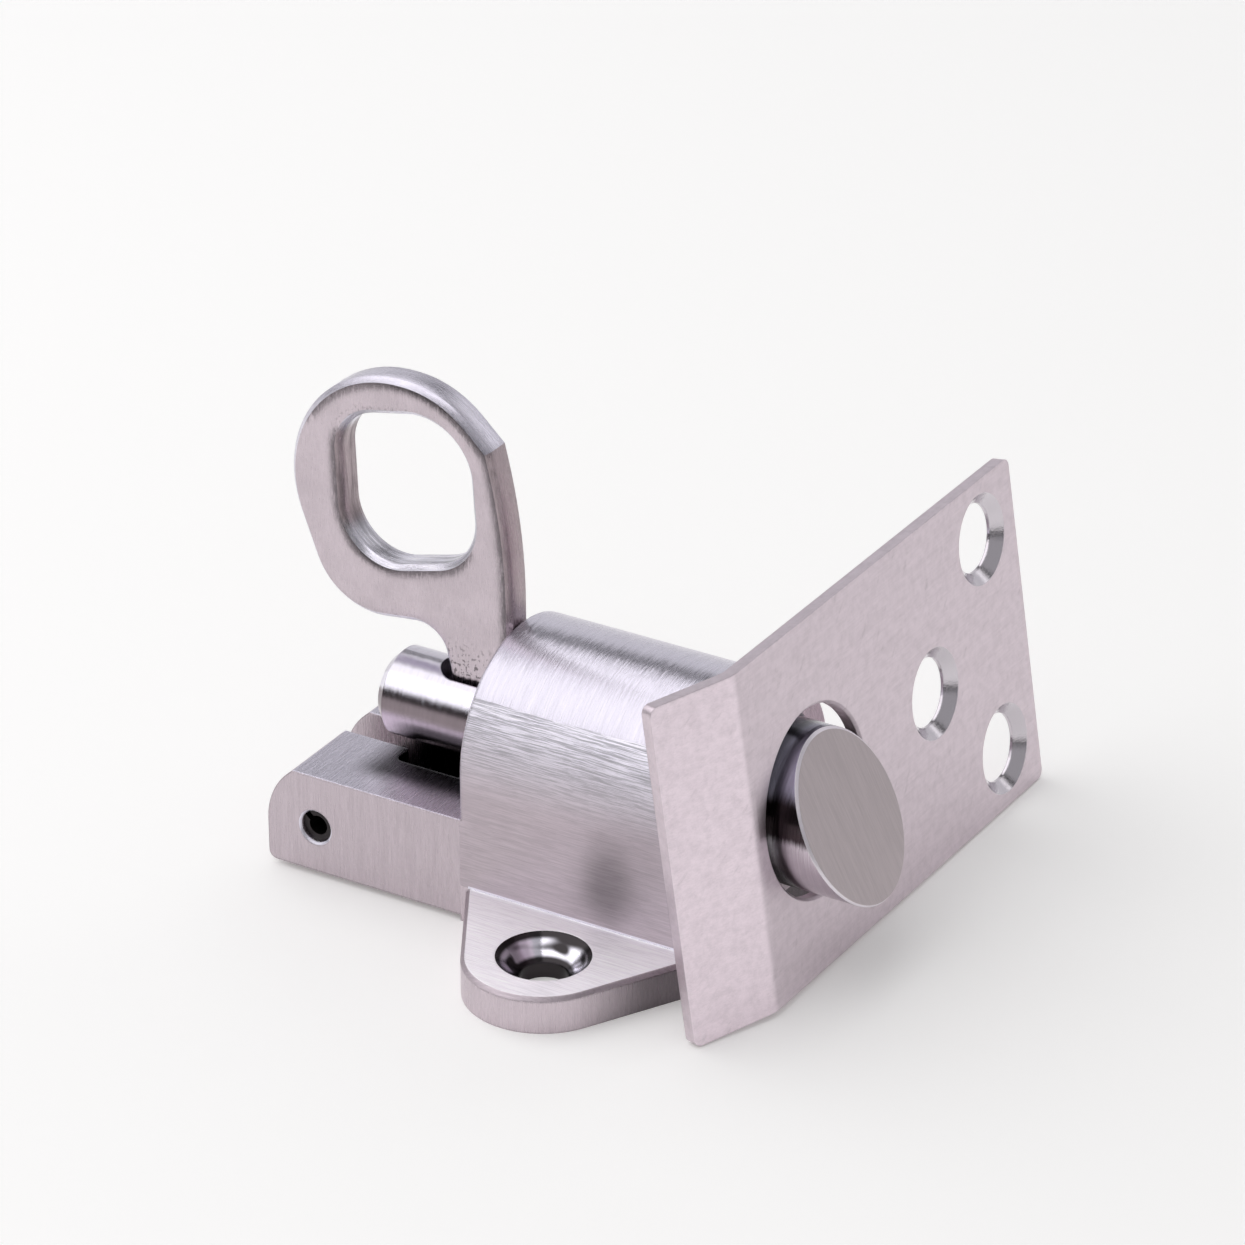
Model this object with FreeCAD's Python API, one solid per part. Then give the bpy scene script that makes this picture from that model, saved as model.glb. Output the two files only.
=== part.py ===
import FreeCAD, Part
import math
import os

from FreeCAD import Placement, Rotation, Vector

# Spring door bolt with a pull ring and a bent strike plate, in millimetres.
# X runs along the bolt towards its nose, Y across it, Z up from the mounting face.
# The origin lies on the mounting face, midway between the two screw holes of the ears.

# Bolt
bolt_diameter = 14.0
axis_height = 14.5
nose_reach = 8.0            # from the housing's front to the slanted face, on the axis
nose_slant = 26.9           # degrees by which the end face leans back
nose_rim = 0.2
shank_length = 6.9          # thick part that stays inside the housing
shoulder_rim = 0.3
rod_diameter = 8.0
rod_reach = 12.75           # how far the rod stands out behind the housing
rod_rim = 0.9
bolt_travel = 9.0           # from the bolt shut to its guide pin near the roll pin

# Housing and its tail block
housing_length = 24.4
housing_width = 20.6
arch_height = 14.1          # centre of the half-round top, a little under the bolt's axis
rear_wall = 3.0
end_rim = 0.3
bore_chamfer = 0.5
running_gap = 0.06          # radial play of the bolt in its bores
tail_gap = 0.6              # between the rod and the tail block's top
tail_relief = 0.6           # by which the tail block's underside clears the mounting face
tail_round = 6.9
tail_crease_inset = 2.7     # from the tail block's rear end to the crisp end of its flat top
tail_crease_drop = 2.07     # from there down to where the round's two tangents meet
tail_foot_round = 0.8
pocket_length = 10.5
pocket_width = 8.2
pocket_floor = 3.0
pocket_corner = 0.8

# Ears and screw holes
ear_thickness = 3.4
ear_root = 23.2             # length of the ear where it meets the housing
ear_radius = 7.0
ear_rim = 0.35
screw_spacing = 33.0
screw_hole_diameter = 4.3
countersink_diameter = 8.2

# Pins
roll_pin_diameter = 3.0
roll_pin_wall = 0.6
roll_pin_slit = 0.6
roll_pin_gap = 0.25         # to the guide pin while the bolt is drawn back
roll_pin_slit_turn = 140    # degrees from the bolt's axis to the slit, over the rear
roll_pin_inset = 4.9        # from the tail block's rear end
roll_pin_height = 4.9
roll_pin_recess = 0.5
roll_pin_bore_rim = 0.2
guide_pin_diameter = 3.5
guide_pin_gap = 0.55        # to the housing's rear wall while the bolt is out
guide_pin_drop = 0.6        # its lower end stands this far over the pocket floor
guide_pin_cover = 0.5       # metal left between the guide pin and the ring slot
guide_groove_gap = 0.15
ring_pin_diameter = 2.0
ring_pin_recess = 0.3
ring_pin_gap = 0.05
ring_pin_skin = 0.6         # metal left closed over the pin on the rod's near side

# Pull ring
ring_thickness = 3.0
ring_rim = 0.45
ring_wall_gap = 0.1         # between the neck and the housing's rear face
neck_width = 6.1
neck_flare = 1.05           # by which the neck's rear side widens up to the loop

# Loop of the ring: heights of its corners before rounding, and how far they lie behind the neck's front
bend_height = 32.6
bend_round = 55.0
crease_height = 40.3
crease_reach = 1.9
top_front_height = 44.8
top_front_reach = 6.7
top_front_round = 9.7
top_rear_height = 45.3
top_rear_reach = 27.1
top_rear_round = 11.3
low_rear_height = 21.25
low_rear_reach = 18.1
low_rear_round = 6.5
neck_hollow_height = 22.6
neck_hollow_round = 3.0
neck_lug_radius = 1.9
neck_lug_rise = 0.38        # by which the straight sides start above the lug
neck_lug_round = 1.862
neck_shoulder_round = 0.6
slot_side_gap = 0.5
slot_floor_gap = 0.2
slot_rear_gap = 0.1         # left behind the neck when the ring has swung back
ring_swing = 8.0            # degrees

# Finger hole, given in the same way
hole_top_front_height = 43.0
hole_top_front_reach = 4.3
hole_top_front_round = 5.3
hole_top_rear_height = 40.4
hole_top_rear_reach = 17.2
hole_top_rear_round = 4.2
hole_low_rear_height = 25.9
hole_low_rear_reach = 16.6
hole_low_rear_round = 4.85
hole_low_front_height = 29.35
hole_low_front_reach = 3.4
hole_low_front_round = 4.9

# Return spring
wire_diameter = 0.9
wire_sides = 6              # the hidden round wire is drawn with flats to keep it light
spring_diameter = 11.0      # through the middle of the wire
spring_turns = 4

# Strike plate
strike_thickness = 1.2
strike_height = 30.8
strike_width = 47.0         # flat part, from the fold to the far edge
strike_lip = 7.7
strike_fold = 23.0          # degrees
strike_fold_radius = 3.0
strike_corner = 0.8
strike_hole_diameter = 16.5
strike_hole_from_fold = 9.4
strike_hole_height = 14.8   # up the plate from its lower edge
strike_hole_rim = 0.25
strike_reach = 4.7          # from the housing's front to the plate's face, at its bolt hole
strike_lean = 8.4           # degrees by which the standing plate leans back
outer_screws_from_hole = 31.6
outer_screws_spacing = 20.1
middle_screw_from_hole = 20.9
strike_screw_diameter = 6.2 # through holes, left by sinks that go nearly through the sheet
strike_screw_land = 0.3     # straight part behind each sink

side_room = 0.98            # share of an outline's side that its two corner rounds may take up

X_AXIS = Vector(1, 0, 0)
Y_AXIS = Vector(0, 1, 0)
Z_AXIS = Vector(0, 0, 1)

front_x = housing_length / 2
rear_x = -housing_length / 2
side_y = housing_width / 2
bolt_radius = bolt_diameter / 2
rod_radius = rod_diameter / 2
shoulder_x = front_x - shank_length
spring_seat_x = rear_x + rear_wall
guide_pin_x = rear_x - guide_pin_gap - guide_pin_diameter / 2
roll_pin_x = guide_pin_x - bolt_travel - roll_pin_gap - (guide_pin_diameter + roll_pin_diameter) / 2
tail_end_x = roll_pin_x - roll_pin_inset
neck_front_x = rear_x - ring_wall_gap
neck_rear_x = neck_front_x - neck_width
pivot_x = (neck_front_x + neck_rear_x) / 2
lug_top = axis_height + neck_lug_radius + neck_lug_rise
slot_floor = axis_height - neck_lug_radius - slot_floor_gap
tail_height = axis_height - rod_radius - tail_gap


def cylinder(radius, start, end):
    """A solid cylinder between two points."""
    way = end.sub(start)
    return Part.makeCylinder(radius, way.Length, start, way)


def cone(radius_start, radius_end, start, end):
    """A solid cone frustum between two points."""
    way = end.sub(start)
    return Part.makeCone(radius_start, radius_end, way.Length, start, way)


def box(low, high):
    """A box between its two opposite corners."""
    size = high.sub(low)
    return Part.makeBox(size.x, size.y, size.z, low)


def rounded_outline(corners):
    """A closed wire through (point, radius) corners, each rounded as far as its sides have room."""
    count = len(corners)
    points = [point for point, radius in corners]
    to_last = [points[i - 1].sub(points[i]).normalize() for i in range(count)]
    to_next = [points[(i + 1) % count].sub(points[i]).normalize() for i in range(count)]
    halves = [to_last[i].getAngle(to_next[i]) / 2 for i in range(count)]
    setbacks = [corners[i][1] / math.tan(halves[i]) for i in range(count)]
    shares = [1.0] * count
    for i in range(count):
        room = side_room * points[i].distanceToPoint(points[i - 1])
        need = setbacks[i] + setbacks[i - 1]
        if need > room:
            shares[i] = min(shares[i], room / need)
            shares[i - 1] = min(shares[i - 1], room / need)
    edges = []
    for i in range(count):
        start = points[i] + to_last[i] * setbacks[i] * shares[i]
        end = points[i] + to_next[i] * setbacks[i] * shares[i]
        if setbacks[i] > 0:
            radius = corners[i][1] * shares[i]
            inward = (to_last[i] + to_next[i]).normalize()
            middle = points[i] + inward * (radius / math.sin(halves[i]) - radius)
            edges.append(Part.Arc(start, middle, end).toShape())
        onward = (i + 1) % count
        next_start = points[onward] + to_last[onward] * setbacks[onward] * shares[onward]
        edges.append(Part.LineSegment(end, next_start).toShape())
    return Part.Wire(edges)


def extruded(outline, way):
    """A solid made by moving a closed outline along a vector."""
    return Part.Face(outline).extrude(way)


def in_plane(edge, x):
    """Whether an edge lies in the plane at this X."""
    return abs(edge.BoundBox.XMin - x) < 1e-4 and abs(edge.BoundBox.XMax - x) < 1e-4


def housing_block():
    """The arched housing, upright sides under a half-round top."""
    left_foot = Vector(rear_x, -side_y, 0)
    left_spring = Vector(rear_x, -side_y, arch_height)
    crown = Vector(rear_x, 0, arch_height + side_y)
    right_spring = Vector(rear_x, side_y, arch_height)
    right_foot = Vector(rear_x, side_y, 0)
    outline = Part.Wire([
        Part.LineSegment(left_foot, left_spring).toShape(),
        Part.Arc(left_spring, crown, right_spring).toShape(),
        Part.LineSegment(right_spring, right_foot).toShape(),
        Part.LineSegment(right_foot, left_foot).toShape(),
    ])
    return extruded(outline, X_AXIS * housing_length)


def tail_block():
    """The block behind the housing under the rod, rounded at its rear end."""
    outline = rounded_outline([
        (Vector(tail_end_x, -side_y, tail_relief), tail_foot_round),
        (Vector(tail_end_x, -side_y, tail_height - tail_crease_drop), tail_round),
        (Vector(tail_end_x + tail_crease_inset, -side_y, tail_height), 0),
        (Vector(rear_x, -side_y, tail_height), 0),
        (Vector(rear_x, -side_y, tail_relief), 0),
    ])
    return extruded(outline, Y_AXIS * housing_width)


def ear(side):
    """One screw ear: a round lobe joined to the housing's end corners by tangent edges."""
    hole_y = side * screw_spacing / 2
    corner_y = side * side_y
    inner_y = corner_y - side * ear_thickness / 2
    root_x = ear_root / 2
    hole_out = screw_spacing / 2 - side_y
    to_root = math.atan2(hole_out, root_x)
    tangent_angle = math.acos(ear_radius / math.hypot(root_x, hole_out)) - to_root
    tangent_x = ear_radius * math.cos(tangent_angle)
    tangent_y = hole_y + side * ear_radius * math.sin(tangent_angle)
    front_tangent = Vector(tangent_x, tangent_y, 0)
    rear_tangent = Vector(-tangent_x, tangent_y, 0)
    tip = Vector(0, hole_y + side * ear_radius, 0)
    points = [
        rear_tangent,
        Vector(-root_x, corner_y, 0),
        Vector(-root_x, inner_y, 0),
        Vector(root_x, inner_y, 0),
        Vector(root_x, corner_y, 0),
        front_tangent,
    ]
    edges = [Part.LineSegment(a, b).toShape() for a, b in zip(points, points[1:])]
    edges.append(Part.Arc(front_tangent, tip, rear_tangent).toShape())
    lobe = extruded(Part.Wire(edges), Z_AXIS * ear_thickness)
    top_rim = [
        edge for edge in lobe.Edges
        if edge.BoundBox.ZMin > ear_thickness - 1e-4
        and side * (edge.CenterOfMass.y - corner_y) > 1e-3
    ]
    return lobe.makeChamfer(ear_rim, top_rim)


def screw_cut(y):
    """The countersunk screw hole of an ear, as the metal that it takes away."""
    hole_radius = screw_hole_diameter / 2
    sink_radius = countersink_diameter / 2
    sink_depth = sink_radius - hole_radius
    top = Vector(0, y, ear_thickness)
    hole = cylinder(hole_radius, Vector(0, y, -1), top + Z_AXIS)
    sink = cone(hole_radius, sink_radius, top - Z_AXIS * sink_depth, top)
    above = cylinder(sink_radius, top, top + Z_AXIS * tail_height)
    return hole.fuse([sink, above])


def pocket_cut():
    """The pocket under the rod and the groove that leads the guide pin behind it."""
    half_width = pocket_width / 2
    rear = rear_x - pocket_length
    height = Z_AXIS * (tail_height + 1 - pocket_floor)
    outline = rounded_outline([
        (Vector(rear, -half_width, pocket_floor), pocket_corner),
        (Vector(rear, half_width, pocket_floor), pocket_corner),
        (Vector(rear_x, half_width, pocket_floor), 0),
        (Vector(rear_x, -half_width, pocket_floor), 0),
    ])
    half_groove = guide_pin_diameter / 2 + guide_groove_gap
    groove = box(
        Vector(tail_end_x - 1, -half_groove, pocket_floor),
        Vector(rear_x - half_groove, half_groove, tail_height + 1),
    )
    return extruded(outline, height).fuse(groove)


def roll_pin_bore():
    """The bore across the tail block with its two small rims."""
    radius = roll_pin_diameter / 2
    near = Vector(roll_pin_x, -side_y, roll_pin_height)
    far = Vector(roll_pin_x, side_y, roll_pin_height)
    inward = Y_AXIS * roll_pin_bore_rim
    return cylinder(radius, near, far).fuse([
        cone(radius + roll_pin_bore_rim, radius, near, near + inward),
        cone(radius + roll_pin_bore_rim, radius, far, far - inward),
    ])


def body():
    """Housing, ears and tail block in one piece, with every bore cut."""
    solid = housing_block().fuse([tail_block(), ear(-1), ear(1)]).removeSplitter()
    on_axis = Z_AXIS * axis_height
    rim_edges = []
    for edge in solid.Edges:
        outer = in_plane(edge, rear_x) or in_plane(edge, front_x)
        if outer and edge.CenterOfMass.z > tail_height:
            rim_edges.append(edge)
    solid = solid.makeChamfer(end_rim, rim_edges)
    bore_radius = bolt_radius + running_gap
    rod_bore_radius = rod_radius + running_gap
    cuts = [
        cylinder(bore_radius, X_AXIS * spring_seat_x + on_axis, X_AXIS * (front_x + 1) + on_axis),
        cylinder(rod_bore_radius, X_AXIS * (rear_x - 1) + on_axis, X_AXIS * front_x + on_axis),
        cone(bore_radius, bore_radius + bore_chamfer,
             X_AXIS * (front_x - bore_chamfer) + on_axis, X_AXIS * front_x + on_axis),
        pocket_cut(),
        screw_cut(-screw_spacing / 2),
        screw_cut(screw_spacing / 2),
        roll_pin_bore(),
    ]
    return solid.cut(cuts)


def ring_slot():
    """The slot milled down into the rod for the ring's neck, round at its rear end."""
    half_width = ring_thickness / 2 + slot_side_gap
    flare_at_top = neck_flare * (axis_height + rod_radius - lug_top) / (neck_hollow_height - lug_top)
    swing_room = flare_at_top + rod_radius * math.sin(math.radians(ring_swing)) + slot_rear_gap
    half_flat = math.sqrt(half_width ** 2 - (ring_thickness / 2) ** 2)
    round_x = neck_rear_x - swing_room + half_flat
    top = axis_height + rod_diameter
    end_round = cylinder(half_width, Vector(round_x, 0, slot_floor), Vector(round_x, 0, top))
    straight = box(
        Vector(round_x, -half_width, slot_floor),
        Vector(rear_x, half_width, top),
    )
    return end_round.fuse(straight)


def ring_pin_end(beyond):
    """The point on the ring pin's axis this far outside the rod's near side."""
    surface_y = math.sqrt(rod_radius ** 2 - (ring_pin_diameter / 2) ** 2)
    return Vector(pivot_x, -surface_y - beyond, axis_height)


def bolt():
    """Thick nose with a slanted face, and the thinner rod that the ring pulls."""
    on_axis = Z_AXIS * axis_height
    nose_x = front_x + nose_reach
    longest = nose_x + bolt_diameter
    nose = cylinder(bolt_radius, X_AXIS * shoulder_x + on_axis, X_AXIS * longest + on_axis)
    slant = Rotation(Y_AXIS, -nose_slant)
    waste = Part.makeBox(bolt_diameter * 2, bolt_diameter * 2, bolt_diameter * 4,
                         Vector(0, -bolt_diameter, -bolt_diameter * 2))
    waste.Placement = Placement(X_AXIS * nose_x + on_axis, slant)
    nose = nose.cut(waste)
    face_rim = [edge for edge in nose.Edges if edge.Curve.TypeId == "Part::GeomEllipse"]
    nose = nose.makeChamfer(nose_rim, face_rim)
    shoulder_edge = [edge for edge in nose.Edges if in_plane(edge, shoulder_x)]
    nose = nose.makeChamfer(shoulder_rim, shoulder_edge)
    rod_end_x = rear_x - rod_reach
    rod = cylinder(rod_radius, X_AXIS * rod_end_x + on_axis, X_AXIS * shoulder_x + on_axis)
    rod_end = [edge for edge in rod.Edges if in_plane(edge, rod_end_x)]
    rod = rod.makeChamfer(rod_rim, rod_end)
    pin_hole = cylinder(ring_pin_diameter / 2, ring_pin_end(-ring_pin_skin),
                        Vector(pivot_x, bolt_radius, axis_height))
    guide_hole = cylinder(guide_pin_diameter / 2, Vector(guide_pin_x, 0, 0),
                          Vector(guide_pin_x, 0, slot_floor - guide_pin_cover))
    return nose.fuse(rod).cut([ring_slot(), pin_hole, guide_hole])


def ring_outline():
    """The ring's outer outline with its neck, in the plane of the bolt's axis."""
    lug_foot = axis_height - neck_lug_radius
    corners = [
        (neck_front_x, lug_top, neck_shoulder_round),
        (neck_front_x, bend_height, bend_round),
        (neck_front_x - crease_reach, crease_height, 0),
        (neck_front_x - top_front_reach, top_front_height, top_front_round),
        (neck_front_x - top_rear_reach, top_rear_height, top_rear_round),
        (neck_front_x - low_rear_reach, low_rear_height, low_rear_round),
        (neck_rear_x - neck_flare, neck_hollow_height, neck_hollow_round),
        (neck_rear_x, lug_top, neck_shoulder_round),
        (pivot_x - neck_lug_radius, lug_foot, neck_lug_round),
        (pivot_x + neck_lug_radius, lug_foot, neck_lug_round),
    ]
    return rounded_outline([(Vector(x, -ring_thickness / 2, z), r) for x, z, r in corners])


def finger_hole_outline():
    """The finger hole, a rounded oblong whose lower side rises to the front."""
    corners = [
        (neck_front_x - hole_top_front_reach, hole_top_front_height, hole_top_front_round),
        (neck_front_x - hole_top_rear_reach, hole_top_rear_height, hole_top_rear_round),
        (neck_front_x - hole_low_rear_reach, hole_low_rear_height, hole_low_rear_round),
        (neck_front_x - hole_low_front_reach, hole_low_front_height, hole_low_front_round),
    ]
    return rounded_outline([(Vector(x, -ring_thickness / 2, z), r) for x, z, r in corners])


def pull_ring():
    """The flat pull ring with bevelled edges, its neck and the hole for its pin."""
    through = Y_AXIS * ring_thickness
    plate = extruded(ring_outline(), through)
    hole = extruded(finger_hole_outline(), through)
    plate = plate.cut(hole)
    above_rod = axis_height + rod_radius + ring_rim
    rims = []
    for edge in plate.Edges:
        flat = edge.BoundBox.YMax - edge.BoundBox.YMin < 1e-4
        if flat and edge.BoundBox.ZMin > above_rod:
            rims.append(edge)
    plate = plate.makeChamfer(ring_rim, rims)
    pin_hole = cylinder(ring_pin_diameter / 2 + ring_pin_gap, Vector(pivot_x, -ring_thickness, axis_height),
                        Vector(pivot_x, ring_thickness, axis_height))
    return plate.cut(pin_hole)


def ring_pin():
    """The cross pin in the rod on which the ring swings."""
    near = ring_pin_end(-ring_pin_skin)
    far = ring_pin_end(-ring_pin_recess)
    return cylinder(ring_pin_diameter / 2, near, Vector(far.x, -far.y, far.z))


def guide_pin():
    """The pin pressed into the rod's underside, which keeps the bolt from turning."""
    foot = pocket_floor + guide_pin_drop
    return cylinder(guide_pin_diameter / 2, Vector(guide_pin_x, 0, foot),
                    Vector(guide_pin_x, 0, slot_floor - guide_pin_cover))


def roll_pin():
    """The slotted spring pin across the tail block, the guide pin's rear stop."""
    half = side_y - roll_pin_recess
    start = Vector(roll_pin_x, -half, roll_pin_height)
    end = Vector(roll_pin_x, half, roll_pin_height)
    tube = cylinder(roll_pin_diameter / 2, start, end)
    tube = tube.cut(cylinder(roll_pin_diameter / 2 - roll_pin_wall, start - Y_AXIS, end + Y_AXIS))
    slit = Part.makeBox(roll_pin_diameter, housing_width, roll_pin_slit,
                        Vector(0, -side_y, -roll_pin_slit / 2))
    slit.Placement = Placement(Vector(roll_pin_x, 0, roll_pin_height), Rotation(Y_AXIS, -roll_pin_slit_turn))
    return tube.cut(slit)


def return_spring():
    """The coil spring round the rod, from the housing's rear wall to the bolt's shoulder."""
    length = shoulder_x - spring_seat_x - wire_diameter
    radius = spring_diameter / 2
    helix = Part.makeHelix(length / spring_turns, length, radius)
    rim = []
    for i in range(wire_sides + 1):
        angle = 2 * math.pi * i / wire_sides
        rim.append(Vector(radius, 0, 0) + Vector(math.cos(angle), 0, math.sin(angle)) * (wire_diameter / 2))
    section = Part.makePolygon(rim)
    coil = Part.Wire(helix).makePipeShell([section], True, True)
    seat = Vector(spring_seat_x + wire_diameter / 2, 0, axis_height)
    coil.Placement = Placement(seat, Rotation(Y_AXIS, 90))
    return coil


def lowest_vertex(shape, side):
    """The lowest corner point on one side of the bolt."""
    points = [vertex.Point for vertex in shape.Vertexes if vertex.Y * side > 0]
    return min(points, key=lambda point: point.z)


def strike_blank():
    """The folded sheet before its holes: flat part, soft fold and lip, with small corner rounds."""
    turn = math.radians(strike_fold)
    outer = strike_fold_radius + strike_thickness
    inner = strike_fold_radius
    fold_y = -strike_hole_from_fold
    far_y = fold_y + strike_width
    centre = Vector(-outer, fold_y, 0)

    def on_fold(radius, angle):
        return centre + Vector(radius * math.cos(angle), -radius * math.sin(angle), 0)

    along_lip = Vector(-math.sin(turn), -math.cos(turn), 0) * strike_lip
    front_far = Vector(0, far_y, 0)
    back_far = Vector(-strike_thickness, far_y, 0)
    front_lip = on_fold(outer, turn) + along_lip
    back_lip = on_fold(inner, turn) + along_lip
    outline = Part.Wire([
        Part.LineSegment(front_far, on_fold(outer, 0)).toShape(),
        Part.Arc(on_fold(outer, 0), on_fold(outer, turn / 2), on_fold(outer, turn)).toShape(),
        Part.LineSegment(on_fold(outer, turn), front_lip).toShape(),
        Part.LineSegment(front_lip, back_lip).toShape(),
        Part.LineSegment(back_lip, on_fold(inner, turn)).toShape(),
        Part.Arc(on_fold(inner, turn), on_fold(inner, turn / 2), on_fold(inner, 0)).toShape(),
        Part.LineSegment(on_fold(inner, 0), back_far).toShape(),
        Part.LineSegment(back_far, front_far).toShape(),
    ])
    sheet = extruded(outline, Z_AXIS * strike_height)
    ends = (front_lip.y, far_y)
    corners = [
        edge for edge in sheet.Edges
        if abs(edge.Length - strike_thickness) < 1e-4
        and min(abs(edge.BoundBox.YMin - ends[0]), abs(edge.BoundBox.YMax - ends[1])) < 1e-3
    ]
    return sheet.makeFillet(strike_corner, corners)


def strike_screw_cut(place):
    """A sink and its short through hole in the strike plate, about the X axis."""
    hole_radius = strike_screw_diameter / 2
    land = X_AXIS * strike_screw_land
    back = place - X_AXIS * strike_thickness
    hole = cylinder(hole_radius, back - land, back + land)
    return hole.fuse(cone(hole_radius, countersink_diameter / 2, back + land, place))


def strike_plate():
    """The strike plate, standing on its two lower corners and leaning back over the bolt."""
    sheet = strike_blank()
    hole_radius = strike_hole_diameter / 2
    centre = Z_AXIS * strike_hole_height
    hole = cylinder(hole_radius, centre - X_AXIS * strike_thickness * 2, centre + X_AXIS)
    rim = cone(hole_radius, hole_radius + strike_hole_rim, centre - X_AXIS * strike_hole_rim, centre)
    sheet = sheet.cut([hole, rim])
    middle = strike_height / 2
    places = [
        Vector(0, outer_screws_from_hole, middle - outer_screws_spacing / 2),
        Vector(0, outer_screws_from_hole, middle + outer_screws_spacing / 2),
        Vector(0, middle_screw_from_hole, middle),
    ]
    sheet = sheet.cut([strike_screw_cut(place) for place in places])
    sheet.translate(-centre)
    sheet.rotate(Vector(0, 0, 0), Y_AXIS, -strike_lean)
    lip_foot = lowest_vertex(sheet, -1)
    far_foot = lowest_vertex(sheet, 1)
    tip_over = math.atan2(far_foot.z - lip_foot.z, far_foot.y - lip_foot.y)
    sheet.rotate(Vector(0, 0, 0), X_AXIS, -math.degrees(tip_over))
    sheet.translate(Vector(front_x + strike_reach, 0, -lowest_vertex(sheet, 1).z))
    return sheet


def export(name, shape):
    """Writes one piece and prints its volume."""
    solids = shape.Solids
    if len(solids) == 1:
        shape = solids[0]
    shape.exportStep(os.path.join("parts", name + ".step"))
    print(name, len(solids), "solid", round(shape.Volume, 1), "mm3, valid", shape.isValid())


os.makedirs("parts", exist_ok=True)
export("body", body())
export("bolt", bolt())
export("pull_ring", pull_ring())
export("ring_pin", ring_pin())
export("guide_pin", guide_pin())
export("roll_pin", roll_pin())
export("return_spring", return_spring())
export("strike_plate", strike_plate())
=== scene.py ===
import math

import bmesh
import bpy
from mathutils import Matrix, Vector


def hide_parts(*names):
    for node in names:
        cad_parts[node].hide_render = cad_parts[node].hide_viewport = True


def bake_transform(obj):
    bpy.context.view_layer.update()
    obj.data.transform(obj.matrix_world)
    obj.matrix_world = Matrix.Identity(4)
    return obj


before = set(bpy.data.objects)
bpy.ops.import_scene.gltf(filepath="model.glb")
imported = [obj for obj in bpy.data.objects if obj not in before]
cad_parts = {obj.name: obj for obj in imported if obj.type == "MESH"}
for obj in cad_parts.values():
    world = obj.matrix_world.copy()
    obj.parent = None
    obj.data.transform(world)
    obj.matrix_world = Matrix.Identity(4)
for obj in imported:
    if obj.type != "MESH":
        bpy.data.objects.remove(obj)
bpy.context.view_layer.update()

# Lengths are in metres. X runs to the bolt's nose, Z up from the mounting face.
MM = 0.001
MARGIN = 0.03 * MM             # so that a face on a limit counts as inside it
AXIS_Z = 14.5 * MM
ARCH_Z = 14.1 * MM
HOUSING_END = 12.2 * MM
HOUSING_SIDE = 10.3 * MM
BELT_LINE_Z = 20.7 * MM        # where the long marks of the sides meet the cross marks of the arch
BELT_LINE_WANDER = 0.5 * MM
EAR_TOP = 3.4 * MM
EAR_SIDE = 11.4 * MM
EAR_HOLE_Y = 16.5 * MM
EAR_HOLE_RADIUS = 2.15 * MM
SINK_RADIUS = 4.1 * MM
TAIL_TOP = 9.9 * MM
POCKET_REAR = -22.7 * MM
POCKET_SIDE = 4.1 * MM
RING_FOOT_Z = 19.5 * MM
FINGER_HOLE = (-0.0224, 0.0, 0.0347)
FINGER_HOLE_REACH = 10.5 * MM
# Centre and reach of a painted dark reflection on the housing's sides.
DARK_REFLECTION_CENTRE = (0.0026, 0.0, 0.0080)
DARK_REFLECTION_RADIUS = 3.4 * MM
PLATE_CENTRE = (0.0162, 0.0, 0.0150)
PLATE_NORMAL = (0.98927, 0.00134, 0.14609)
PLATE_LIP_NORMAL = (0.9106, -0.3896, 0.1376)
PLATE_SINK_RADIUS = 5.0 * MM
PLATE_SINKS = [
    (0.0172417, 0.0315232, 0.0053558),
    (0.0157736, 0.0209028, 0.0153831),
    (0.0143055, 0.0316818, 0.0252396),
]
NOSE_FACE_UP = (-0.415, 0.0, 0.91)
SPRING_START = Vector((-8.7, 0.0, 14.5)) * MM
SPRING_LENGTH = 13.5 * MM
SPRING_RADIUS = 5.5 * MM
SPRING_TURNS = 4
WIRE_RADIUS = 0.45 * MM

X_AXIS = (1.0, 0.0, 0.0)
Y_AXIS = (0.0, 1.0, 0.0)
Z_AXIS = (0.0, 0.0, 1.0)

STEEL = (0.60, 0.524, 0.568)
# Cool steel; on the arch it is painted light, lighter and cooler than the sides.
STEEL_COOL = (0.66, 0.63, 0.71)
# Bright steel: painted highlights and glints, and the worn finger hole of the ring.
STEEL_BRIGHT = (0.92, 0.89, 0.98)
# Painted light: the ears' tops, lighter than the sides.
STEEL_EAR_TOP_LIT = (0.99, 0.96, 1.0)
# Painted light: the tail block's top, lighter than its cheeks.
STEEL_TAIL_TOP_LIT = (0.78, 0.74, 0.84)
STEEL_WARM = (0.54, 0.475, 0.485)
# Painted shade on the pull ring's forward sides.
STEEL_BROWN_SHADE = (0.42, 0.35, 0.37)
STEEL_SHINY = (0.66, 0.62, 0.66)
# Painted reflections on the rod and the nose, as bands round them.
STEEL_ROD_TOP_REFLECTION = (0.72, 0.69, 0.76)
STEEL_ROD_DARK_REFLECTION = (0.26, 0.215, 0.235)
STEEL_NOSE_BLUE_REFLECTION = (0.36, 0.34, 0.43)
STEEL_NOSE_DARK_REFLECTION = (0.06, 0.045, 0.05)
# Painted highlight on the nose's rim.
STEEL_RIM_HIGHLIGHT = (0.84, 0.79, 0.84)
STEEL_SPRING = (0.32, 0.31, 0.32)
STEEL_PIN = (0.45, 0.43, 0.44)
# Near black: painted shade in the holes and the pocket, the painted dark of the ear sinks, and the roll
# pin.
STEEL_DARK = (0.045, 0.04, 0.042)


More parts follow.
